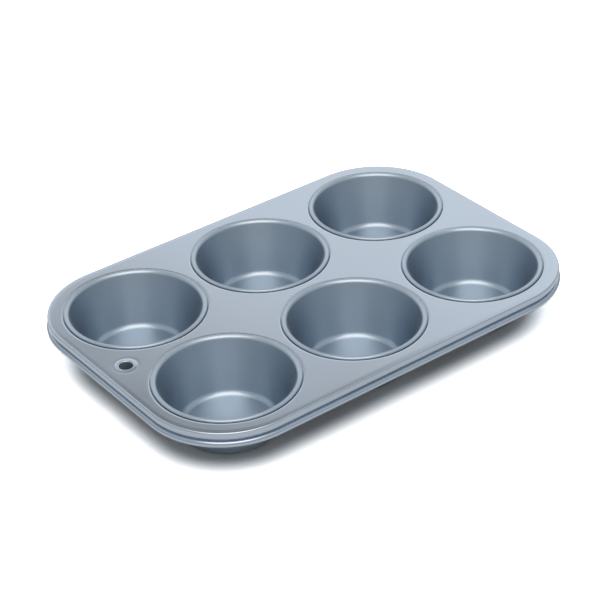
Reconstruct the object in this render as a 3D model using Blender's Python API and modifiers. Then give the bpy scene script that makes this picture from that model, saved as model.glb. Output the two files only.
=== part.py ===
"""A six-cup muffin pan of pressed sheet metal.

Six drawn cups hang in the holes of one flat deck, each held by its own lip, which is curled over
a low collar round the hole. The deck's edge turns down into a short skirt and then rolls round a
closed wire. The pan stands on the floors of its cups, with its long side along X, and the hanging
hole is at the -X end. Lengths are in metres, +Z is up and the origin is on the table, midway
between the cups.
"""

import math

import bmesh
import bpy

MM = 0.001

# Sheet and fit
SHEET = 0.5 * MM
FIT_GAP = 0.3 * MM

# Cups: sizes of the inside, which is what a baker measures
CUP_COLUMNS = ("left", "middle", "right")
CUP_ROWS = ("front", "back")
MOUTH_RADIUS = 34.3 * MM
SHOULDER_DROP = 1.2 * MM
CUP_DEPTH = 29.1 * MM
FLOOR_RADIUS = 24.3 * MM
FLOOR_FILLET = 3.0 * MM

# Lip: from the mouth up to its crest and out to its edge, and the land between neighbouring lips
LIP_INNER = 2.8 * MM
LIP_OUTER = 2.0 * MM
LIP_RISE = 1.0 * MM
COLLAR_BEND = 0.6 * MM
LAND_ALONG = 4.24 * MM
LAND_ACROSS = 4.79 * MM

# Deck: margins from the outer lips to the skirt, and the section of its edge
END_MARGIN = 7.01 * MM
SIDE_MARGIN = 7.15 * MM
CORNER_RADIUS = 44.5 * MM
RIM_WIDTH = 3.0 * MM
RIM_RISE = 0.25 * MM
EDGE_BEND = 1.1 * MM
NECK_DROP = 2.3 * MM
NECK_INSET = 0.8 * MM

# Rolled bead along the bottom of the skirt, and the wire inside it
BEAD_DROP = 6.95 * MM
BEAD_OVERHANG = 1.2 * MM
WIRE_DIAMETER = 1.9 * MM
BEAD_MOUTH = math.radians(45)

# Hanging hole, and the low ring pressed up round it
HANG_INSET = 13.0 * MM
HANG_HOLE_RADIUS = 3.6 * MM
HANG_RING_WIDTH = 1.8 * MM
HANG_RING_RISE = 0.25 * MM

# Facets of the round shapes
CUP_STEPS = 32
LIP_STEPS = 3
FILLET_STEPS = 3
CORNER_STEPS = 8
BEND_STEPS = 2
BEAD_STEPS = 10
HANG_STEPS = 16
SMOOTH_BELOW = math.radians(40)

# Worked out from the sizes above
HALF_SHEET = SHEET / 2
DECK_TOP = SHEET + CUP_DEPTH
COLLAR_RADIUS = MOUTH_RADIUS + LIP_INNER
LIP_RADIUS = COLLAR_RADIUS + LIP_OUTER
SPACING_ALONG = 2 * LIP_RADIUS + LAND_ALONG
SPACING_ACROSS = 2 * LIP_RADIUS + LAND_ACROSS
HALF_LENGTH = SPACING_ALONG * (len(CUP_COLUMNS) - 1) / 2 + LIP_RADIUS + END_MARGIN
HALF_WIDTH = SPACING_ACROSS * (len(CUP_ROWS) - 1) / 2 + LIP_RADIUS + SIDE_MARGIN
COLLAR_TOP = DECK_TOP + LIP_RISE - SHEET - FIT_GAP
BEAD_MIDDLE_RADIUS = WIRE_DIAMETER / 2 + FIT_GAP + HALF_SHEET
BEAD_INSET = BEAD_MIDDLE_RADIUS + HALF_SHEET - BEAD_OVERHANG
BEAD_HEIGHT = DECK_TOP - BEAD_DROP
HANG_PLACE = (HANG_INSET - HALF_LENGTH, 0.0)


def clear_scene():
    for scene_object in list(bpy.data.objects):
        bpy.data.objects.remove(scene_object, do_unlink=True)


def collection_named(name):
    collection = bpy.data.collections.new(name)
    bpy.context.scene.collection.children.link(collection)
    return collection


def metal(name, colour, roughness, metallic):
    """A coated or bare metal as a Principled material."""
    material = bpy.data.materials.new(name)
    material.use_nodes = True
    shader = material.node_tree.nodes["Principled BSDF"]
    shader.inputs["Base Color"].default_value = (*colour, 1.0)
    shader.inputs["Roughness"].default_value = roughness
    shader.inputs["Metallic"].default_value = metallic
    return material


def arc(centre, radii, start, end, steps):
    """Points of a round or oval arc from one angle to another, both ends included."""
    angles = [start + (end - start) * i / steps for i in range(steps + 1)]
    return [
        (centre[0] + radii[0] * math.cos(angle), centre[1] + radii[1] * math.sin(angle))
        for angle in angles
    ]


def cup_centres():
    """Each cup's name and the place of its axis on the table."""
    for row, row_name in enumerate(CUP_ROWS):
        for column, column_name in enumerate(CUP_COLUMNS):
            x = SPACING_ALONG * (column - (len(CUP_COLUMNS) - 1) / 2)
            y = SPACING_ACROSS * (row - (len(CUP_ROWS) - 1) / 2)
            yield f"cup_{column_name}_{row_name}", (x, y)


def cup_profile():
    """Middle line of a cup's sheet, as radius and height, from the lip's outer end to the axis."""
    crest = DECK_TOP + LIP_RISE - HALF_SHEET
    foot = DECK_TOP + FIT_GAP
    fold = arc(
        (COLLAR_RADIUS, foot), (LIP_OUTER - HALF_SHEET, crest - foot), 0.0, math.pi / 2, LIP_STEPS
    )
    wall_top = (MOUTH_RADIUS + HALF_SHEET, DECK_TOP - SHOULDER_DROP)
    shoulder = arc(
        (COLLAR_RADIUS, wall_top[1]),
        (COLLAR_RADIUS - wall_top[0], crest - wall_top[1]),
        math.pi / 2,
        math.pi,
        LIP_STEPS,
    )
    # The fillet runs from the floor up to the angle where the straight wall touches it.
    bend = FLOOR_FILLET + HALF_SHEET
    centre = (FLOOR_RADIUS, HALF_SHEET + bend)
    away = (wall_top[0] - centre[0], wall_top[1] - centre[1])
    touch = math.atan2(away[1], away[0]) - math.acos(bend / math.hypot(*away))
    fillet = arc(centre, (bend, bend), touch, -math.pi / 2, FILLET_STEPS)
    return fold + shoulder[1:] + fillet + [(0.0, HALF_SHEET)]


def cup_mesh():
    """The profile as a chain of edges in the XZ plane, for a Screw to turn."""
    points = [(radius, 0.0, height) for radius, height in cup_profile()]
    edges = [(i, i + 1) for i in range(len(points) - 1)]
    mesh = bpy.data.meshes.new("cup_profile")
    mesh.from_pydata(points, edges, [])
    return mesh


def add_solidify(piece):
    """Gives a middle surface the thickness of the sheet, half to each side."""
    solidify = piece.modifiers.new("sheet", "SOLIDIFY")
    solidify.thickness = SHEET
    solidify.offset = 0.0
    solidify.use_even_offset = True


def build_cups(collection, material):
    mesh = cup_mesh()
    mesh.materials.append(material)
    for name, (x, y) in cup_centres():
        cup = bpy.data.objects.new(name, mesh)
        collection.objects.link(cup)
        cup.location = (x, y, 0.0)
        turn = cup.modifiers.new("turn", "SCREW")
        turn.axis = "Z"
        turn.steps = CUP_STEPS
        turn.render_steps = CUP_STEPS
        turn.use_merge_vertices = True
        turn.merge_threshold = 0.01 * MM
        turn.use_smooth_shade = True
        add_solidify(cup)


def rounded_rectangle(inset, height):
    """A closed outline a given way inside the skirt, its corners on the skirt's own centres."""
    radius = CORNER_RADIUS - inset
    points = []
    for corner, (side_x, side_y) in enumerate(((1, 1), (-1, 1), (-1, -1), (1, -1))):
        centre = (
            side_x * (HALF_LENGTH - CORNER_RADIUS),
            side_y * (HALF_WIDTH - CORNER_RADIUS),
        )
        start = corner * math.pi / 2
        points += arc(centre, (radius, radius), start, start + math.pi / 2, CORNER_STEPS)
    return [(x, y, height) for x, y in points]


def circle(centre, radius, height, steps):
    points = arc(centre, (radius, radius), 0.0, 2 * math.pi, steps)[:-1]
    return [(x, y, height) for x, y in points]


def deck_edge_profile():
    """Inset and height of the deck's middle surface, from the flat out, down and round the bead."""
    bend = EDGE_BEND - HALF_SHEET
    centre = (EDGE_BEND, DECK_TOP + RIM_RISE - EDGE_BEND)
    edge = [(RIM_WIDTH, DECK_TOP - HALF_SHEET)]
    edge += arc(centre, (-bend, bend), math.pi / 2, 0.0, BEND_STEPS)
    edge.append((HALF_SHEET, DECK_TOP - NECK_DROP))
    # The neck under the skirt meets the bead's circle, and the roll stops short of it.
    meet = math.acos((BEAD_INSET - HALF_SHEET - NECK_INSET) / BEAD_MIDDLE_RADIUS)
    bead = arc(
        (BEAD_INSET, BEAD_HEIGHT),
        (-BEAD_MIDDLE_RADIUS, BEAD_MIDDLE_RADIUS),
        meet,
        meet - 2 * math.pi + BEAD_MOUTH,
        BEAD_STEPS,
    )
    return edge + bead


def collar_profile():
    """Radius and height of the middle surface where a cup's hole turns up into its collar."""
    flat = DECK_TOP - HALF_SHEET
    return [(COLLAR_RADIUS + COLLAR_BEND, flat), (COLLAR_RADIUS, COLLAR_TOP)]


def hang_profile():
    """Radius and height of the middle surface over the ring round the hanging hole, inwards."""
    flat = DECK_TOP - HALF_SHEET
    return [
        (HANG_HOLE_RADIUS + HANG_RING_WIDTH, flat),
        (HANG_HOLE_RADIUS + HANG_RING_WIDTH / 2, flat + HANG_RING_RISE),
        (HANG_HOLE_RADIUS, flat),
    ]


def add_ring(shape, points):
    """A closed loop of vertices and edges."""
    corners = [shape.verts.new(point) for point in points]
    edges = [shape.edges.new((a, b)) for a, b in zip(corners, corners[1:] + corners[:1])]
    return corners, edges


def skin(shape, first, second):
    """Four-sided faces between two loops of as many vertices."""
    count = len(first)
    for i in range(count):
        j = (i + 1) % count
        shape.faces.new((first[i], first[j], second[j], second[i]))


def add_bands(shape, loops):
    """Loops skinned one to the next. Returns the edges of the first, which borders the flat top."""
    rings = [add_ring(shape, points) for points in loops]
    for (first, _), (second, _) in zip(rings, rings[1:]):
        skin(shape, first, second)
    return rings[0][1]


def build_deck(collection, material):
    """The flat top is filled between the loops that its edge and its holes start from."""
    shape = bmesh.new()
    border = add_bands(
        shape, [rounded_rectangle(inset, height) for inset, height in deck_edge_profile()]
    )
    for _, centre in cup_centres():
        border += add_bands(
            shape,
            [circle(centre, radius, height, CUP_STEPS) for radius, height in collar_profile()],
        )
    border += add_bands(
        shape,
        [circle(HANG_PLACE, radius, height, HANG_STEPS) for radius, height in hang_profile()],
    )
    bmesh.ops.triangle_fill(shape, edges=border, use_beauty=True, normal=(0.0, 0.0, 1.0))
    bmesh.ops.recalc_face_normals(shape, faces=shape.faces)
    mesh = bpy.data.meshes.new("deck")
    shape.to_mesh(mesh)
    shape.free()
    mesh.materials.append(material)
    mesh.shade_smooth()
    mesh.set_sharp_from_angle(angle=SMOOTH_BELOW)
    deck = bpy.data.objects.new("deck", mesh)
    collection.objects.link(deck)
    add_solidify(deck)


def build_rim_wire(collection, material):
    """A closed round wire along the middle of the bead."""
    curve = bpy.data.curves.new("rim_wire", "CURVE")
    curve.dimensions = "3D"
    curve.bevel_depth = WIRE_DIAMETER / 2
    curve.bevel_resolution = 2
    points = rounded_rectangle(BEAD_INSET, BEAD_HEIGHT)
    line = curve.splines.new("POLY")
    line.points.add(len(points) - 1)
    for spline_point, place in zip(line.points, points):
        spline_point.co = (*place, 1.0)
    line.use_cyclic_u = True
    curve.materials.append(material)
    wire = bpy.data.objects.new("rim_wire", curve)
    collection.objects.link(wire)


def main():
    clear_scene()
    pan = collection_named("muffin_pan")
    deck_coating = metal("deck_coating", (0.42, 0.46, 0.52), 0.38, 0.85)
    cup_coating = metal("cup_coating", (0.36, 0.41, 0.47), 0.34, 0.85)
    wire_steel = metal("wire_steel", (0.55, 0.56, 0.58), 0.45, 1.0)
    build_deck(pan, deck_coating)
    build_rim_wire(pan, wire_steel)
    build_cups(pan, cup_coating)
    print(
        f"skirt {2000 * HALF_LENGTH:.1f} x {2000 * HALF_WIDTH:.1f} mm, "
        f"cups {2000 * MOUTH_RADIUS:.1f} mm wide and {1000 * CUP_DEPTH:.1f} mm deep"
    )


main()
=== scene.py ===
# %% [markdown]
# # A six-cup muffin pan
# The pan is thin sheet metal: six drawn cups are crimped into the holes of one flat deck, and the
# deck's edge is rolled round a wire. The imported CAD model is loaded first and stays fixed. Every
# shape below is worked out in the same frame: metres, +Z up, the table at z = 0.

# %% Load the CAD model
import math

import bmesh
import bpy
import numpy as np
from mathutils import Matrix


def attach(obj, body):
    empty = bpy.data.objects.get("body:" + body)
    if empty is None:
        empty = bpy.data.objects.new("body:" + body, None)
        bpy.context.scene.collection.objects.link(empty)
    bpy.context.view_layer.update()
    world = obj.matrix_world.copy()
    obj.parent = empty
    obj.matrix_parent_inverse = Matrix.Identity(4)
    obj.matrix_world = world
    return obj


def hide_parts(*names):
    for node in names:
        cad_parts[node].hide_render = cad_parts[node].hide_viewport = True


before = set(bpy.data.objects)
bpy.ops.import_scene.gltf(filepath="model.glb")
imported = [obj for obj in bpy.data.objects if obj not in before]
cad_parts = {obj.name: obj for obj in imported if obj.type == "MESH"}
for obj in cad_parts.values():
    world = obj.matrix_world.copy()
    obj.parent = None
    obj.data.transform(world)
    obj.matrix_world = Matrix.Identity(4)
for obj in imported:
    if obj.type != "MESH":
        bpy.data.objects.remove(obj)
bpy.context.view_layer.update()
print("CAD nodes:", sorted(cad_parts))

# %% [markdown]
# ## The sizes the pan is made to
# A metalworker starts with the sheet and the tools: the punch that draws the cups, the roller that
# forms the rim. These are the same sizes that the CAD model was built from, so each new surface
# lies in the place of the solid it stands for.

# %% Sizes
MM = 0.001
SHEET = 0.5 * MM
DECK_TOP = 29.6 * MM
CUP_COLUMNS = {"left": -82.44 * MM, "middle": 0.0, "right": 82.44 * MM}
CUP_ROWS = {"front": -41.495 * MM, "back": 41.495 * MM}
HALF_LENGTH = 128.55 * MM
HALF_WIDTH = 87.745 * MM
CORNER_RADIUS = 44.5 * MM
print(f"deck {2 * HALF_LENGTH / MM:.1f} x {2 * HALF_WIDTH / MM:.1f} mm, "
      f"top at {DECK_TOP / MM:.1f} mm")

# %% [markdown]
# ## Meshes from grids
# Most of the pan is a profile carried round something: a cup's profile round its axis, the rim's
# round the deck. Such a surface is a grid of points, and its faces join neighbours in the grid.
# Blender's Screw and Bevel could do part of this, but a grid gives full control of every radius.

# %% Grid helpers
MERGE_DISTANCE = 0.004 * MM
SLIVER = 0.001 * MM
SHARP_ABOVE = math.radians(38.0)


def grid_quads(rows, columns):
    """Corner numbers of the quads of a grid whose columns close on themselves.
    Quad (i, j) runs (i, j), (i+1, j), (i+1, j+1), (i, j+1), with j+1 taken modulo the columns."""
    i, j = np.meshgrid(np.arange(rows - 1), np.arange(columns), indexing="ij")
    k = (j + 1) % columns
    row, next_row = i * columns, (i + 1) * columns
    return np.stack([row + j, next_row + j, next_row + k, row + k], -1).reshape(-1, 4)


def piece_from(name, points, quads, material, uv=None):
    """A mesh object at the origin, from an array of points and an array of quads.
    Points in the same place are merged, which closes poles and joins neighbouring patches.
    uv has one place for each corner of each quad."""
    mesh = bpy.data.meshes.new(name)
    mesh.from_pydata(points.reshape(-1, 3).tolist(), [], quads.tolist())
    if uv is not None:
        layer = mesh.uv_layers.new(name="section")
        layer.data.foreach_set("uv", uv.ravel())
    shape = bmesh.new()
    shape.from_mesh(mesh)
    bmesh.ops.remove_doubles(shape, verts=shape.verts, dist=MERGE_DISTANCE)
    bmesh.ops.dissolve_degenerate(shape, edges=shape.edges, dist=SLIVER)
    odd = sum(1 for edge in shape.edges if edge.is_manifold and not edge.is_contiguous)
    shape.to_mesh(mesh)
    shape.free()
    mesh.shade_smooth()
    mesh.set_sharp_from_angle(angle=SHARP_ABOVE)
    mesh.materials.append(material)
    piece = bpy.data.objects.new(name, mesh)
    bpy.context.scene.collection.objects.link(piece)
    print(f"{name}: {len(mesh.polygons)} faces, {odd} turned against a neighbour")
    return piece


def arc(centre, radius, start, end, count):
    """Points of a round arc, centre + radius (cos a, sin a) for a from start to end in degrees,
    and the directions from the centre to them."""
    angles = np.radians(np.linspace(start, end, count))
    outward = np.stack([np.cos(angles), np.sin(angles)], -1)
    return np.asarray(centre) + radius * outward, outward


def line(start, end, count):
    """Points of a straight line with both its ends."""
    t = np.linspace(0.0, 1.0, count)[:, None]
    return np.asarray(start) * (1 - t) + np.asarray(end) * t


# %% [markdown]
# ## Coated steel
# The pan's sheet carries a satin grey-blue non-stick coating full of fine metal flake. It could be
# one flat grey, but the real one is alive up close: flake glitters a little, the spray leaves a
# faint ripple like orange peel, and the baking turns it slightly warmer and cooler in patches.
# So the colour, the roughness and the bump all come from noise of the right size. The pattern's
# coordinates are an input, because the deck's lie flat and a cup's follow the wall.

# %% Node helpers
NOISE_LOW, NOISE_HIGH = 0.3, 0.7


def add_node(tree, kind, place, **settings):
    """A node of that kind with its settings made, at a place in the editor."""
    node = tree.nodes.new(kind)
    node.location = place
    for name, value in settings.items():
        setattr(node, name, value)
    return node


def noise(tree, coordinates, scale, detail, place):
    """A grey noise of that many bumps per metre."""
    node = add_node(tree, "ShaderNodeTexNoise", place)
    node.inputs["Scale"].default_value = scale
    node.inputs["Detail"].default_value = detail
    tree.links.new(coordinates, node.inputs["Vector"])
    return node.outputs["Fac"]


def spread(tree, value, low, high, place):
    """Maps a noise's usual range onto the range from low to high."""
    node = add_node(tree, "ShaderNodeMapRange", place)
    node.inputs["From Min"].default_value = NOISE_LOW
    node.inputs["From Max"].default_value = NOISE_HIGH
    node.inputs["To Min"].default_value = low
    node.inputs["To Max"].default_value = high
    tree.links.new(value, node.inputs["Value"])
    return node.outputs["Result"]


def maths(tree, operation, first, second, place):
    """One sum or product of two values; the second may be a plain number."""
    node = add_node(tree, "ShaderNodeMath", place, operation=operation)
    tree.links.new(first, node.inputs[0])
    if isinstance(second, float):
        node.inputs[1].default_value = second
    else:
        tree.links.new(second, node.inputs[1])
    return node.outputs["Value"]


# %% [markdown]
# ### The coating, layer by layer
# One function makes both coatings, because the pan was sprayed in one go. Broad noise shifts the
# tint between warm and cool. Fine noise is the flake, and noise stretched along one axis gives the
# faint lines that drawing and rolling leave. The cups are shinier one way than the other: their
# highlights spread round the wall, which is what Anisotropic does along the section's own tangent.

# %% Coating material
COATING_COLOUR = (0.455, 0.523, 0.603)
DECK_ROUGHNESS = 0.2
# The cups' colour is the deck's a little darker: painted shade for the cups' insides.
CUP_COLOUR_WITH_PAINTED_SHADE = (0.425, 0.497, 0.57)
CUP_ROUGHNESS = 0.33
CUP_STREAKING = 0.75
# Bumps per metre of each layer, and how far the drawn lines are stretched.
PATCH_SCALE, FLAKE_SCALE, RIPPLE_SCALE, DRAWN_SCALE = 22.0, 2600.0, 420.0, 640.0
STRETCH_ON_WALL, STRETCH_ON_DECK = (1.0, 1.0, 0.06), (0.08, 1.0, 1.0)
# How much each layer changes the colour, the roughness and the surface.
WARM, COOL = (0.975, 0.975, 0.975), (1.015, 1.025, 1.04)
FLAKE_SHADE, DRAWN_SHADE = 0.015, 0.006
PATCH_ROUGHNESS, DRAWN_ROUGHNESS = 0.012, 0.006
BUMP_STRENGTH, BUMP_DISTANCE, FLAKE_RELIEF = 0.6, 0.002 * MM, 0.15


def coated_steel(name, colour, roughness, streaks):
    """Satin metallic coating: patchy tint, flake glitter, spray ripple and faint drawn lines."""
    material = bpy.data.materials.new(name)
    material.use_nodes = True
    tree = material.node_tree
    shader = tree.nodes["Principled BSDF"]
    shader.inputs["Metallic"].default_value = 1.0
    if streaks:
        source = add_node(tree, "ShaderNodeAttribute", (-1400, 0), attribute_name="draw")
        coordinates = source.outputs["Vector"]
        shader.inputs["Anisotropic"].default_value = CUP_STREAKING
        along_wall = add_node(tree, "ShaderNodeTangent", (-300, -600),
                              direction_type="UV_MAP", uv_map="section")
        tree.links.new(along_wall.outputs["Tangent"], shader.inputs["Tangent"])
    else:
        source = add_node(tree, "ShaderNodeTexCoord", (-1400, 0))
        coordinates = source.outputs["Object"]
    patches = noise(tree, coordinates, PATCH_SCALE, 2.0, (-1100, 300))
    flake = noise(tree, coordinates, FLAKE_SCALE, 1.0, (-1100, 0))
    ripple = noise(tree, coordinates, RIPPLE_SCALE, 2.0, (-1100, -300))
    along = add_node(tree, "ShaderNodeMapping", (-1300, -600))
    along.inputs["Scale"].default_value = STRETCH_ON_WALL if streaks else STRETCH_ON_DECK
    tree.links.new(coordinates, along.inputs["Vector"])
    drawn = noise(tree, along.outputs["Vector"], DRAWN_SCALE, 3.0, (-1100, -600))

    tint = add_node(tree, "ShaderNodeMix", (-600, 300), data_type="RGBA")
    for socket, shift in (("A", WARM), ("B", COOL)):
        tint.inputs[socket].default_value = (*(s * c for s, c in zip(shift, colour)), 1.0)
    tree.links.new(spread(tree, patches, 0.0, 1.0, (-850, 300)), tint.inputs["Factor"])
    glitter = add_node(tree, "ShaderNodeMix", (-350, 300), data_type="RGBA", blend_type="MULTIPLY")
    glitter.inputs["Factor"].default_value = 1.0
    shade = maths(tree, "MULTIPLY",
                  spread(tree, flake, 1.0 - FLAKE_SHADE, 1.0 + FLAKE_SHADE, (-850, 50)),
                  spread(tree, drawn, 1.0 - DRAWN_SHADE, 1.0 + DRAWN_SHADE, (-850, -150)),
                  (-600, 0))
    tree.links.new(tint.outputs["Result"], glitter.inputs["A"])
    tree.links.new(shade, glitter.inputs["B"])
    tree.links.new(glitter.outputs["Result"], shader.inputs["Base Color"])

    low, high = roughness - PATCH_ROUGHNESS, roughness + PATCH_ROUGHNESS
    rough = maths(tree, "ADD", spread(tree, patches, low, high, (-850, -350)),
                  spread(tree, drawn, -DRAWN_ROUGHNESS, DRAWN_ROUGHNESS, (-850, -550)),
                  (-600, -400))
    tree.links.new(rough, shader.inputs["Roughness"])
    bump = add_node(tree, "ShaderNodeBump", (-300, -300))
    bump.inputs["Strength"].default_value = BUMP_STRENGTH
    bump.inputs["Distance"].default_value = BUMP_DISTANCE
    glints = maths(tree, "MULTIPLY", flake, FLAKE_RELIEF, (-600, -650))
    tree.links.new(maths(tree, "ADD", ripple, glints, (-450, -600)), bump.inputs["Height"])
    tree.links.new(bump.outputs["Normal"], shader.inputs["Normal"])
    return material


deck_coating = coated_steel("deck_coating", COATING_COLOUR, DECK_ROUGHNESS, streaks=False)
cup_coating = coated_steel("cup_coating", CUP_COLOUR_WITH_PAINTED_SHADE, CUP_ROUGHNESS, streaks=True)
print("coatings:", deck_coating.name, cup_coating.name)

# %% [markdown]
# ## The cups
# Each cup is drawn from one disc by a punch: flat floor, small fillet, tapered wall, then a lip
# that is curled over the hole's collar. It could be a Screw modifier on half a profile. Here the
# whole closed section of the sheet is computed, inside and outside, because a real cup shows the
# thickness of its sheet only at the end of the curl, which is rounded. The section is then turned
# about the cup's axis: point (r, z) goes to (x + r cos t, y + r sin t, z).

# %% Section of a cup's sheet
FLOOR_RADIUS = 23.2 * MM
FILLET_RADIUS = 3.7 * MM
CREST = (37.1 * MM, 30.42 * MM)
LIP_INNER_ARC = 2.1 * MM
LIP_CROWN_ARC = 2.2 * MM
LIP_CROWN_END = 72.0
LIP_EDGE_ARC = 0.75 * MM
CURL_END = DECK_TOP - 0.02 * MM
CUP_STEPS = 144


def cup_section():
    """Closed section of the sheet as radius and height, from the axis over the inside, round the
    curl's end and back under it. The straight wall is the crossing tangent of the fillet's circle
    and the lip's circle: its slope is the slope between their centres plus
    asin(sum of radii / distance). The last number of each line and arc is its count of points."""
    fillet_centre = np.array([FLOOR_RADIUS, SHEET + FILLET_RADIUS])
    lip_centre = np.array([CREST[0], CREST[1] - LIP_INNER_ARC])
    crown_centre = np.array([CREST[0], CREST[1] - LIP_CROWN_ARC])
    away = lip_centre - fillet_centre
    slope = math.degrees(
        math.atan2(away[1], away[0])
        + math.asin((FILLET_RADIUS + LIP_INNER_ARC) / math.hypot(*away))
    )
    floor = line((0.0, SHEET), (FLOOR_RADIUS, SHEET), 8)
    fillet, fillet_out = arc(fillet_centre, FILLET_RADIUS, -90.0, slope - 90.0, 14)
    lip, lip_out = arc(lip_centre, LIP_INNER_ARC, slope + 90.0, 90.0, 16)
    crown, crown_out = arc(crown_centre, LIP_CROWN_ARC, 90.0, LIP_CROWN_END, 4)
    edge_centre = crown[-1] - LIP_EDGE_ARC * crown_out[-1]
    edge, edge_out = arc(edge_centre, LIP_EDGE_ARC, LIP_CROWN_END, 0.0, 9)
    flank = line(edge[-1], (edge[-1][0], CURL_END), 3)
    wall = line(fillet[-1], lip[0], 12)[1:-1]
    wall_up = np.array([-math.sin(math.radians(slope)), math.cos(math.radians(slope))])
    inside = np.concatenate([floor[:-1], fillet, wall, lip, crown[1:], edge[1:], flank[1:]])
    facing = np.concatenate([
        np.tile([0.0, 1.0], (len(floor) - 1, 1)),
        -fillet_out,
        np.tile(wall_up, (len(wall), 1)),
        lip_out,
        crown_out[1:],
        edge_out[1:],
        np.tile([1.0, 0.0], (len(flank) - 1, 1)),
    ])
    outside = inside - SHEET * facing
    end, _ = arc((inside[-1] + outside[-1]) / 2, SHEET / 2, 0.0, -180.0, 7)
    return np.concatenate([inside, end[1:-1], outside[::-1]])


def turned(section, x, y):
    """The section carried round the vertical axis through (x, y)."""
    t = np.arange(CUP_STEPS) * 2 * math.pi / CUP_STEPS
    r, z = section[:, 0, None], section[:, 1, None]
    return np.stack([x + r * np.cos(t), y + r * np.sin(t), z + 0 * t], -1)


def section_uv(section):
    """For each quad corner, the way along the section and the way round at the lip, in metres."""
    steps = np.hypot(*np.diff(section, axis=0).T)
    along = np.concatenate([[0.0], np.cumsum(steps)])
    i, j = np.meshgrid(np.arange(len(section) - 1), np.arange(CUP_STEPS), indexing="ij")
    across = 2 * math.pi * CREST[0] / CUP_STEPS
    corners = [(along[i + a], (j + b) * across) for a, b in ((0, 0), (1, 0), (1, 1), (0, 1))]
    return np.stack([np.stack(corner, -1) for corner in corners], -2)


def add_draw_attribute(piece, x, y, turn, lift):
    """Stores each point's place about the cup's own axis, turned about it and lifted."""
    place = np.empty(len(piece.data.vertices) * 3)
    piece.data.vertices.foreach_get("co", place)
    aside, deep, high = (place.reshape(-1, 3) - (x, y, 0.0)).T
    c, s = math.cos(turn), math.sin(turn)
    local = np.stack([c * aside - s * deep, s * aside + c * deep, high + lift], -1)
    attribute = piece.data.attributes.new("draw", "FLOAT_VECTOR", "POINT")
    attribute.data.foreach_set("vector", local.ravel())


section = cup_section()
print(f"cup section: {len(section)} points, "
      f"from {section[:, 1].min() / MM:.2f} to {section[:, 1].max() / MM:.2f} mm")

# %% [markdown]
# All six cups come from the same punch, so one section serves them all. Copies of one mesh would
# also carry the same noise, which the eye picks out. So each cup's pattern is turned and lifted to
# another part of the noise.

# %% Six cups
# In radians and metres.
TURN_PER_CUP = 1.9
LIFT_PER_CUP = 0.1
cup_places = [
    (f"cup_{column}_{row}", x, y)
    for row, y in CUP_ROWS.items() for column, x in CUP_COLUMNS.items()
]
cup_quads = grid_quads(len(section), CUP_STEPS)
for number, (node, x, y) in enumerate(cup_places):
    cup = piece_from(f"{node}_sheet", turned(section, x, y), cup_quads, cup_coating,
                     uv=section_uv(section))
    add_draw_attribute(cup, x, y, turn=TURN_PER_CUP * number, lift=LIFT_PER_CUP * number)
    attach(cup, "root")
    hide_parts(node)

# %% [markdown]
# ## The deck
# The deck is one pressed sheet. Round every hole it dips a little towards the foot of the lip and
# turns up under it. At its border it falls off gently, turns down as a skirt, necks in and rolls up
# round the wire. Booleans on a plate would leave hard edges and long thin faces. So the flat is
# laid out in cells, one round each hole, and each cell is ruled from rings about its hole to the
# cell's border. Neighbouring cells share the points of their common border.

# %% Cell borders
RIM_INSET = 3.0 * MM
FLAT_X = HALF_LENGTH - RIM_INSET
FLAT_Y = HALF_WIDTH - RIM_INSET
FLAT_CORNER = CORNER_RADIUS - RIM_INSET
TURN_X = FLAT_X - FLAT_CORNER
TURN_Y = FLAT_Y - FLAT_CORNER
CELL_X = CUP_COLUMNS["right"] / 2
HANG_X = -115.55 * MM
HANG_CELL_X = -106.6 * MM
HANG_CELL_Y = 8.4 * MM
STEP = 2.0 * MM
CORNER_FINENESS = 1.4


def border(corners):
    """Points round a closed outline, without repeats. Each corner is a place and None, or a place
    and the centre of the quarter turn that leads to it. The points are about one step apart, and
    closer by the fineness in a turn."""
    points = []
    for corner, following in zip(corners, corners[1:] + corners[:1]):
        start, end = np.array(corner[0]), np.array(following[0])
        if following[1] is None:
            count = max(2, math.ceil(np.hypot(*(end - start)) / STEP)) + 1
            points.append(line(start, end, count)[:-1])
        else:
            centre = np.array(following[1])
            first = math.degrees(math.atan2(*(start - centre)[::-1]))
            count = math.ceil(FLAT_CORNER * math.pi / 2 / STEP * CORNER_FINENESS) + 1
            points.append(arc(centre, FLAT_CORNER, first, first + 90.0, count)[0][:-1])
    return np.concatenate(points)


def mirrored(corners):
    """The outline mirrored from the front half to the back half. A mirror turns the order round,
    so the corners are walked the other way."""
    places = [(x, -y) for (x, y), _ in corners][::-1]
    centres = [centre and (centre[0], -centre[1]) for _, centre in corners][::-1]
    # Walking the other way, the turn belongs to the corner before it.
    return list(zip(places, centres[-1:] + centres[:-1]))


middle_cell = [
    ((-CELL_X, -FLAT_Y), None),
    ((CELL_X, -FLAT_Y), None),
    ((CELL_X, 0.0), None),
    ((-CELL_X, 0.0), None),
]
right_cell = [
    ((CELL_X, -FLAT_Y), None),
    ((TURN_X, -FLAT_Y), None),
    ((FLAT_X, -TURN_Y), (TURN_X, -TURN_Y)),
    ((FLAT_X, 0.0), None),
    ((CELL_X, 0.0), None),
]
left_cell = [
    ((-FLAT_X, -TURN_Y), None),
    ((-TURN_X, -FLAT_Y), (-TURN_X, -TURN_Y)),
    ((-CELL_X, -FLAT_Y), None),
    ((-CELL_X, 0.0), None),
    ((HANG_CELL_X, 0.0), None),
    ((HANG_CELL_X, -HANG_CELL_Y), None),
    ((-FLAT_X, -HANG_CELL_Y), None),
]
hang_cell = [
    ((-FLAT_X, -HANG_CELL_Y), None),
    ((HANG_CELL_X, -HANG_CELL_Y), None),
    ((HANG_CELL_X, 0.0), None),
    ((HANG_CELL_X, HANG_CELL_Y), None),
    ((-FLAT_X, HANG_CELL_Y), None),
]
print(f"cell borders: middle {len(border(middle_cell))}, left {len(border(left_cell))} points")

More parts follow.
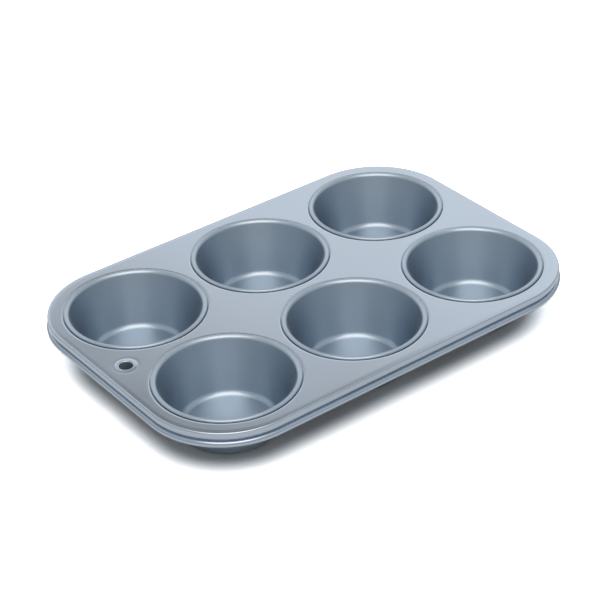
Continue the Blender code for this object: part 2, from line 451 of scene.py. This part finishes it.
# %% [markdown]
# The press pushes the sheet down a little as it shapes each collar, and the dark line round a lip
# is that crevice. Round the hanging hole the sheet swells before it turns down into the hole, and
# is faintly dished further out. Displacement from an image could do this, but a few rings of given
# radius and height are exact, and lie closest where the sheet bends.

# %% Rings round the holes, and the cells' surfaces
# Radius and height above the deck, in millimetres.
CUP_RINGS = np.array([
    (37.45, 0.2), (37.45, -0.2), (37.6, -0.36), (38.5, -0.36), (38.66, -0.29), (38.77, -0.18),
    (38.88, -0.09), (39.05, -0.045), (39.33, -0.022), (39.7, -0.008), (40.1, 0.0), (40.5, 0.0),
    (40.9, 0.0),
]) * MM
HANG_RINGS = np.array([
    (3.6, -0.6), (3.62, -0.35), (3.72, -0.12), (3.9, 0.0), (4.2, 0.09), (4.6, 0.12), (5.0, 0.09),
    (5.4, 0.03), (5.8, -0.005), (6.3, -0.02), (6.9, -0.018), (7.5, -0.006), (7.9, 0.0), (8.15, 0.0),
]) * MM


def raised(flat, heights):
    """Points of a flat grid, each of its rows at its own height above the deck."""
    levels = np.broadcast_to(DECK_TOP + heights[:, None, None], (*flat.shape[:2], 1))
    return np.concatenate([flat, levels], -1)


def cell(corners, centre, rings):
    """Grid of a cell: rings about the centre, each point on the ray to its border point, then the
    border itself. Ring (r, h) and direction a give centre + r (cos a, sin a) at height h."""
    edge = border(corners)
    rays = edge - centre
    rays /= np.hypot(rays[:, 0], rays[:, 1])[:, None]
    ringed = np.asarray(centre) + rings[:, 0, None, None] * rays
    return raised(np.concatenate([ringed, edge[None]]), np.append(rings[:, 1], 0.0))


cells = []
for name, corners in (("middle", middle_cell), ("right", right_cell), ("left", left_cell)):
    x = CUP_COLUMNS[name]
    cells.append(cell(corners, (x, CUP_ROWS["front"]), CUP_RINGS))
    cells.append(cell(mirrored(corners), (x, CUP_ROWS["back"]), CUP_RINGS))
cells.append(cell(hang_cell, (HANG_X, 0.0), HANG_RINGS))
print("cells:", [grid.shape[:2] for grid in cells])

# %% [markdown]
# ### The rim
# The sheet's border falls off, turns down and is rolled round a wire. It could be a bevelled curve,
# but then it wouldn't share its points with the flat. So the rim is a profile swept along the
# deck's outline. A roller leaves no sharp corners, so the profile is a plain polyline whose corners
# are rounded by arcs, and it ends in the rolled bead.

# %% Rim profile and sweep
# Insets from the skirt and drops below the deck. A bend is the radius that rounds a corner.
SKIRT_DROP = 3.6 * MM
NECK_INSET = 1.65 * MM
FALL_START, FALL_START_BEND = 2.85 * MM, 3.0 * MM
FALL_MIDDLE, FALL_MIDDLE_BEND = 1.4 * MM, 2.0 * MM
FALL_MIDDLE_SHARE = 0.3
EDGE_OUT = 0.3 * MM
EDGE_FALL = 0.1 * MM
EDGE_BEND = 0.8 * MM
NECK_BEND = 2.4 * MM
BEAD_BEND = 0.12 * MM
BEND_POINTS, BEAD_POINTS = 8, 40
BEAD_CENTRE = (0.6 * MM, -6.95 * MM)
BEAD_RADIUS = 1.75 * MM
BEAD_ROLL = 315.0


def rounded(points, radii, count):
    """A polyline with its inner corners rounded: each is replaced by the arc of that radius which
    touches both its sides, reached by stepping back radius * tan(half the turn)."""
    points = np.asarray(points, float)
    result = [points[:1]]
    for before, corner, after, radius in zip(points, points[1:], points[2:], radii):
        come = (corner - before) / np.hypot(*(corner - before))
        leave = (after - corner) / np.hypot(*(after - corner))
        turn = math.atan2(come[0] * leave[1] - come[1] * leave[0], come @ leave)
        side = math.copysign(1.0, turn)
        start = corner - come * radius * math.tan(abs(turn) / 2)
        centre = start + side * radius * np.array([-come[1], come[0]])
        first = math.degrees(math.atan2(*(start - centre)[::-1]))
        result.append(arc(centre, radius, first, first + math.degrees(turn), count)[0])
    result.append(points[-1:])
    return np.concatenate(result)


def rim_profile():
    """Inset from the skirt and height above the deck, from the flat over the rim and round the
    bead. The neck runs down to where it would meet the bead's circle, a little inside it."""
    meet = math.acos((BEAD_CENTRE[0] - NECK_INSET) / BEAD_RADIUS)
    meeting = (BEAD_CENTRE[0] - BEAD_RADIUS * math.cos(meet),
               BEAD_CENTRE[1] + BEAD_RADIUS * math.sin(meet))
    start = 180.0 - math.degrees(meet)
    bead, _ = arc(BEAD_CENTRE, BEAD_RADIUS, start, start + BEAD_ROLL, BEAD_POINTS)
    corners_and_bends = [
        ((RIM_INSET, 0.0), None),
        ((FALL_START, 0.0), FALL_START_BEND),
        ((FALL_MIDDLE, -FALL_MIDDLE_SHARE * EDGE_FALL), FALL_MIDDLE_BEND),
        ((-EDGE_OUT, -EDGE_FALL), EDGE_BEND),
        ((-EDGE_OUT, -SKIRT_DROP), NECK_BEND),
        (meeting, BEAD_BEND),
        (bead[2], None),
    ]
    corners = [corner for corner, _ in corners_and_bends]
    bends = [bend for _, bend in corners_and_bends[1:-1]]
    return np.concatenate([rounded(corners, bends, BEND_POINTS), bead[3:]])


def swept(profile, outline, outward):
    """Carries the profile along the outline: inset s and height h at point p with outward
    direction n give p + (RIM_INSET - s) n at height h above the deck."""
    reach = (RIM_INSET - profile[:, 0])[:, None, None]
    return raised(outline + reach * outward, profile[:, 1])


outline_corners = [
    ((-CELL_X, -FLAT_Y), None),
    ((CELL_X, -FLAT_Y), None),
    ((TURN_X, -FLAT_Y), None),
    ((FLAT_X, -TURN_Y), (TURN_X, -TURN_Y)),
    ((FLAT_X, 0.0), None),
    ((FLAT_X, TURN_Y), None),
    ((TURN_X, FLAT_Y), (TURN_X, TURN_Y)),
    ((CELL_X, FLAT_Y), None),
    ((-CELL_X, FLAT_Y), None),
    ((-TURN_X, FLAT_Y), None),
    ((-FLAT_X, TURN_Y), (-TURN_X, TURN_Y)),
    ((-FLAT_X, HANG_CELL_Y), None),
    ((-FLAT_X, -HANG_CELL_Y), None),
    ((-FLAT_X, -TURN_Y), None),
    ((-TURN_X, -FLAT_Y), (-TURN_X, -TURN_Y)),
]
outline = border(outline_corners)
nearest = np.clip(outline, (-TURN_X, -TURN_Y), (TURN_X, TURN_Y))
outward = (outline - nearest) / FLAT_CORNER
rim = swept(rim_profile(), outline, outward)
print(f"rim: {rim.shape[0]} points in its profile, {rim.shape[1]} along the outline")

# %% [markdown]
# The cells and the rim meet point by point, so merging their doubles makes one sheet of them. The
# grid is the sheet's upper side only. Solidify gives it its thickness below, as gauge steel has
# the same thickness everywhere.

# %% One sheet from the cells and the rim
def joined(grids):
    """Points and quads of several grids, numbered one after another."""
    points, quads, count = [], [], 0
    for grid in grids:
        points.append(grid.reshape(-1, 3))
        quads.append(grid_quads(*grid.shape[:2]) + count)
        count += len(points[-1])
    return np.concatenate(points), np.concatenate(quads)


deck_points, deck_quads = joined([*cells, rim])
deck = piece_from("deck_sheet", deck_points, deck_quads, deck_coating)
thickness = deck.modifiers.new("sheet", "SOLIDIFY")
thickness.thickness = SHEET
thickness.offset = -1.0
thickness.use_even_offset = True
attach(deck, "root")
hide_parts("deck")

# %% [markdown]
# ## The wire in the rim
# The CAD wire is already right: a round wire, closed in by the bead. It only needs its finish,
# bare drawn steel. A flat grey would do where so little shows, but fine noise in its shade and its
# roughness costs only a few nodes, and tells steel from plastic.

# %% Wire
WIRE_GRAIN = 900.0
WIRE_DARK, WIRE_PALE = (0.50, 0.50, 0.51, 1.0), (0.60, 0.60, 0.62, 1.0)
WIRE_ROUGHNESS = (0.36, 0.48)
wire_steel = bpy.data.materials.new("drawn_wire")
wire_steel.use_nodes = True
tree = wire_steel.node_tree
shader = tree.nodes["Principled BSDF"]
shader.inputs["Metallic"].default_value = 1.0
source = add_node(tree, "ShaderNodeTexCoord", (-900, 0))
grain = noise(tree, source.outputs["Object"], WIRE_GRAIN, 2.0, (-700, 0))
steel = add_node(tree, "ShaderNodeMix", (-300, 100), data_type="RGBA")
steel.inputs["A"].default_value = WIRE_DARK
steel.inputs["B"].default_value = WIRE_PALE
tree.links.new(spread(tree, grain, 0.0, 1.0, (-500, 100)), steel.inputs["Factor"])
tree.links.new(steel.outputs["Result"], shader.inputs["Base Color"])
tree.links.new(spread(tree, grain, *WIRE_ROUGHNESS, (-500, -200)), shader.inputs["Roughness"])
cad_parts["rim_wire"].data.materials.clear()
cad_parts["rim_wire"].data.materials.append(wire_steel)
print("wire finish:", wire_steel.name)

# %% [markdown]
# ## Floor
# The pan stands on a plain white sweep. Rays from the camera see the paper brighter, as on an
# exposure that lets it go white, but painted darker towards and under the pan: a painted shadow,
# and the real shadow lies on top of that. All other rays, such as the metal's mirror rays, see
# plain paper, with painted shade under the pan, so that it throws back less light from there. Both
# depend on the distance from the pan's middle part: |place| less a rectangle, no less than 0, and
# its length.

# %% Helpers for the floor and the room
def vector_step(tree, operation, first, second, place):
    """One step of vector arithmetic; the second is a plain vector, or None where none is needed."""
    node = add_node(tree, "ShaderNodeVectorMath", place, operation=operation)
    tree.links.new(first, node.inputs[0])
    if second is not None:
        node.inputs[1].default_value = second
    gives_number = operation in ("LENGTH", "DOT_PRODUCT")
    return node.outputs["Value" if gives_number else "Vector"]


def ramp(tree, value, start, end, low, high, place):
    """A value that goes smoothly from low to high as the given one goes from start to end."""
    node = add_node(tree, "ShaderNodeMapRange", place, interpolation_type="SMOOTHSTEP")
    numbers = {"From Min": start, "From Max": end, "To Min": low, "To Max": high}
    for name, number in numbers.items():
        node.inputs[name].default_value = number
    tree.links.new(value, node.inputs["Value"])
    return node.outputs["Result"]


# %% Floor
FLOOR_HALF = 6
FLOOR_DROP = 0.05 * MM
floor_mesh = bpy.data.meshes.new("floor")
floor_corners = [
    (-FLOOR_HALF, -FLOOR_HALF, 0),
    (FLOOR_HALF, -FLOOR_HALF, 0),
    (FLOOR_HALF, FLOOR_HALF, 0),
    (-FLOOR_HALF, FLOOR_HALF, 0),
]
floor_mesh.from_pydata(floor_corners, [], [(0, 1, 2, 3)])
floor = bpy.data.objects.new("floor", floor_mesh)
floor.location.z = -FLOOR_DROP
bpy.context.scene.collection.objects.link(floor)
print("floor at", floor.location.z / MM, "mm")

# %% Paper
SHADE_CORNER = 54.0 * MM
SHADE_LONGER = 3.0 * MM
MIDDLE = (HALF_LENGTH + SHADE_LONGER - SHADE_CORNER, HALF_WIDTH - SHADE_CORNER, 0.0)
# Where each ramp of painted shadow starts and ends, inside the shade's edge, and its brightness
# there.
SEEN_START, SEEN_END, SEEN_LOW, SEEN_HIGH = 17.5 * MM, 3.5 * MM, 0.55, 2.6
PLAIN_START, PLAIN_END, PLAIN_LOW, PLAIN_HIGH = 28.0 * MM, 8.0 * MM, 0.12, 0.85

paper = bpy.data.materials.new("paper")
paper.use_nodes = True
tree = paper.node_tree
tree.nodes.remove(tree.nodes["Principled BSDF"])
spot = add_node(tree, "ShaderNodeTexCoord", (-1400, 0)).outputs["Object"]
quarter = vector_step(tree, "ABSOLUTE", spot, None, (-1200, 0))
beyond = vector_step(tree, "SUBTRACT", quarter, MIDDLE, (-1000, 0))
outside = vector_step(tree, "MAXIMUM", beyond, (0.0, 0.0, 0.0), (-800, 0))
distance = vector_step(tree, "LENGTH", outside, None, (-600, 0))
# The paper the camera sees: white away from the pan, with a painted shadow towards and under it.
seen_white_and_painted_shadow = ramp(tree, distance, SHADE_CORNER - SEEN_START, SHADE_CORNER - SEEN_END,
                  SEEN_LOW, SEEN_HIGH, (-400, 0))
# The paper other rays see: painted shade under the pan.
plain_painted_shade = ramp(tree, distance, SHADE_CORNER - PLAIN_START, SHADE_CORNER - PLAIN_END,
                   PLAIN_LOW, PLAIN_HIGH, (-400, 200))
seen_paper = add_node(tree, "ShaderNodeBsdfDiffuse", (0, 0))
plain_paper = add_node(tree, "ShaderNodeBsdfDiffuse", (0, 200))
tree.links.new(seen_white_and_painted_shadow, seen_paper.inputs["Color"])
tree.links.new(plain_painted_shade, plain_paper.inputs["Color"])
path = add_node(tree, "ShaderNodeLightPath", (-200, 400))
choose = add_node(tree, "ShaderNodeMixShader", (250, 100))
tree.links.new(path.outputs["Is Camera Ray"], choose.inputs["Fac"])
tree.links.new(plain_paper.outputs["BSDF"], choose.inputs[1])
tree.links.new(seen_paper.outputs["BSDF"], choose.inputs[2])
tree.links.new(choose.outputs["Shader"], tree.nodes["Material Output"].inputs["Surface"])
floor_mesh.materials.append(paper)
print("paper:", len(tree.nodes), "nodes")

# %% [markdown]
# ## Light
# The room is dark near the floor and grey higher up, and the wall behind the pan is bright. The
# flat deck mirrors that wall, so its glow is the deck's own look. It could be a photograph of a
# studio, but a few smooth steps over the direction of a ray are plain to read and to change. Two
# dark patches in the room darken the deck's front left corner and the left side next to it.

# %% Room
WALL_WAY, WALL_LEVEL = 58.0, 1.18
WALL_DARK_FROM, WALL_BRIGHT_WITHIN = 50.0, 14.0
WALL_TOP, WALL_BRIGHT_BELOW = 75.0, 46.0
WALL_FOOT = (0.15, 0.4)
# Height on the unit sphere where each step starts and ends, and the brightness there.
LOW_ROOM = (0.0, 0.42, 0.26, 0.67)
HIGH_ROOM = (0.6, 0.85, 0.0, -0.02)
ROOM_PAINT, WALL_PAINT = (0.95, 1.0, 1.04, 1.0), (1.0, 1.0, 1.0, 1.0)
# Azimuth, elevation and radius in degrees, and the share of the light that is left.
CORNER_PATCH = (53.5, 44.3, 11.5, 0.22)
SIDE_PATCH = (63.5, 37.3, 6.2, 0.05)
PATCH_CORE = 0.3

world = bpy.data.worlds.new("room")
bpy.context.scene.world = world
world.use_nodes = True
tree = world.node_tree
background = tree.nodes["Background"]
direction = add_node(tree, "ShaderNodeTexCoord", (-1400, 0)).outputs["Generated"]


def pointing(azimuth, elevation):
    """The direction with that azimuth from +X and that height above the horizon, in degrees."""
    a, e = math.radians(azimuth), math.radians(elevation)
    return (math.cos(e) * math.cos(a), math.cos(e) * math.sin(a), math.sin(e))


def cosine(degrees):
    """The cosine of an angle in degrees."""
    return math.cos(math.radians(degrees))


def sine(degrees):
    """The sine of an angle in degrees."""
    return math.sin(math.radians(degrees))


def dark_patch(azimuth, elevation, radius, left, place):
    """Factor for a round dark patch in that direction, which leaves that share of the light."""
    beside = (place[0] + 200, place[1])
    nearness = vector_step(tree, "DOT_PRODUCT", direction, pointing(azimuth, elevation), place)
    return ramp(tree, nearness, cosine(radius), cosine(PATCH_CORE * radius), 1.0, left, beside)


height = vector_step(tree, "DOT_PRODUCT", direction, (0.0, 0.0, 1.0), (-1100, 400))
low_room = ramp(tree, height, *LOW_ROOM, (-700, 800))
high_room = ramp(tree, height, *HIGH_ROOM, (-700, 600))
room = maths(tree, "ADD", low_room, high_room, (-500, 700))
print("room:", len(tree.nodes), "nodes so far")

# %% Wall and its dark patches
flattened = vector_step(tree, "MULTIPLY", direction, (1.0, 1.0, 0.0), (-1200, 0))
level_way = vector_step(tree, "NORMALIZE", flattened, None, (-1000, 0))
sideways = vector_step(tree, "DOT_PRODUCT", level_way, pointing(WALL_WAY, 0.0), (-800, 0))
across = ramp(tree, sideways, cosine(WALL_DARK_FROM), cosine(WALL_BRIGHT_WITHIN),
              0.0, 1.0, (-500, 0))
top_edge = ramp(tree, height, sine(WALL_TOP), sine(WALL_BRIGHT_BELOW), 0.0, 1.0, (-700, 300))
foot_edge = ramp(tree, height, *WALL_FOOT, 0.0, 1.0, (-700, 150))
upright = maths(tree, "MULTIPLY", top_edge, foot_edge, (-500, 250))
wall = maths(tree, "MULTIPLY", across, upright, (-300, 100))
lit = add_node(tree, "ShaderNodeMix", (-100, 100), data_type="FLOAT")
lit.inputs["B"].default_value = WALL_LEVEL
tree.links.new(wall, lit.inputs["Factor"])
tree.links.new(room, lit.inputs["A"])
patches = maths(tree, "MULTIPLY", dark_patch(*CORNER_PATCH, (-700, -200)),
                dark_patch(*SIDE_PATCH, (-700, -400)), (-200, -300))
strength = maths(tree, "MULTIPLY", lit.outputs["Result"], patches, (100, 0))
tree.links.new(strength, background.inputs["Strength"])
paint = add_node(tree, "ShaderNodeMix", (-100, -500), data_type="RGBA")
paint.inputs["A"].default_value = ROOM_PAINT
paint.inputs["B"].default_value = WALL_PAINT
tree.links.new(wall, paint.inputs["Factor"])
tree.links.new(paint.outputs["Result"], background.inputs["Color"])
print("room:", len(tree.nodes), "nodes")

# %% [markdown]
# ### Softbox
# The room alone would leave the cups without highlights. A large rectangle of warm light hangs
# above the pan and a little towards the camera. It draws the bright crescents on the cups' fillets
# and the patches on their floors. A sun or a point light would draw hard dots there instead.

# %% Softbox
SOFTBOX_WIDTH, SOFTBOX_DEPTH = 0.8, 1.12
SOFTBOX_WATTS = 4.9
SOFTBOX_COLOUR = (1.0, 0.9, 0.81)
SOFTBOX_TURN = math.radians(-36.17)
SOFTBOX_PLACE = (0.0, -0.39, 1.03)
softbox = bpy.data.lights.new("softbox", "AREA")
softbox.shape = "RECTANGLE"
softbox.size = SOFTBOX_WIDTH
softbox.size_y = SOFTBOX_DEPTH
softbox.energy = SOFTBOX_WATTS
softbox.color = SOFTBOX_COLOUR
softbox_object = bpy.data.objects.new("softbox", softbox)
bpy.context.scene.collection.objects.link(softbox_object)
softbox_object.matrix_world = (
    Matrix.Rotation(SOFTBOX_TURN, 4, "Z") @ Matrix.Translation(SOFTBOX_PLACE)
)
print("softbox at", [round(v, 2) for v in softbox_object.matrix_world.translation])

# %% [markdown]
# ## Camera
# The camera stands where the photographer's did: seen from the pan it is to the front left and
# above. Its direction comes from three angles, and the columns of its matrix are its right, its
# up and its back.

# %% Camera
AZIMUTH, ELEVATION, ROLL = math.radians(-36.173), math.radians(33.02), math.radians(-2.426)
SENSOR_WIDTH, FOCAL_LENGTH = 36.0, 113.3
# The picture's middle lies half a pixel off the frame's middle.
IMAGE_WIDTH = 600
SHIFT = 0.5 / IMAGE_WIDTH
NEAR_LIMIT = 0.01
EYE = (-0.50845, -0.68981, 0.54743 + DECK_TOP)
view_back = np.array([
    math.sin(AZIMUTH) * math.cos(ELEVATION),
    -math.cos(AZIMUTH) * math.cos(ELEVATION),
    math.sin(ELEVATION),
])
level = np.array([math.cos(AZIMUTH), math.sin(AZIMUTH), 0.0])
steep = np.cross(view_back, level)
view_right = level * math.cos(ROLL) + steep * math.sin(ROLL)
view_up = steep * math.cos(ROLL) - level * math.sin(ROLL)
camera = bpy.data.cameras.new("camera")
camera.sensor_width = SENSOR_WIDTH
camera.lens = FOCAL_LENGTH
camera.shift_x = -SHIFT
camera.shift_y = SHIFT
camera.clip_start = NEAR_LIMIT
camera_object = bpy.data.objects.new("camera", camera)
bpy.context.scene.collection.objects.link(camera_object)
rows = [[view_right[i], view_up[i], view_back[i], EYE[i]] for i in range(3)]
camera_object.matrix_world = Matrix([*rows, [0.0, 0.0, 0.0, 1.0]])
bpy.context.scene.camera = camera_object
bpy.context.scene.view_settings.view_transform = "Standard"
print("camera lens", camera.lens)
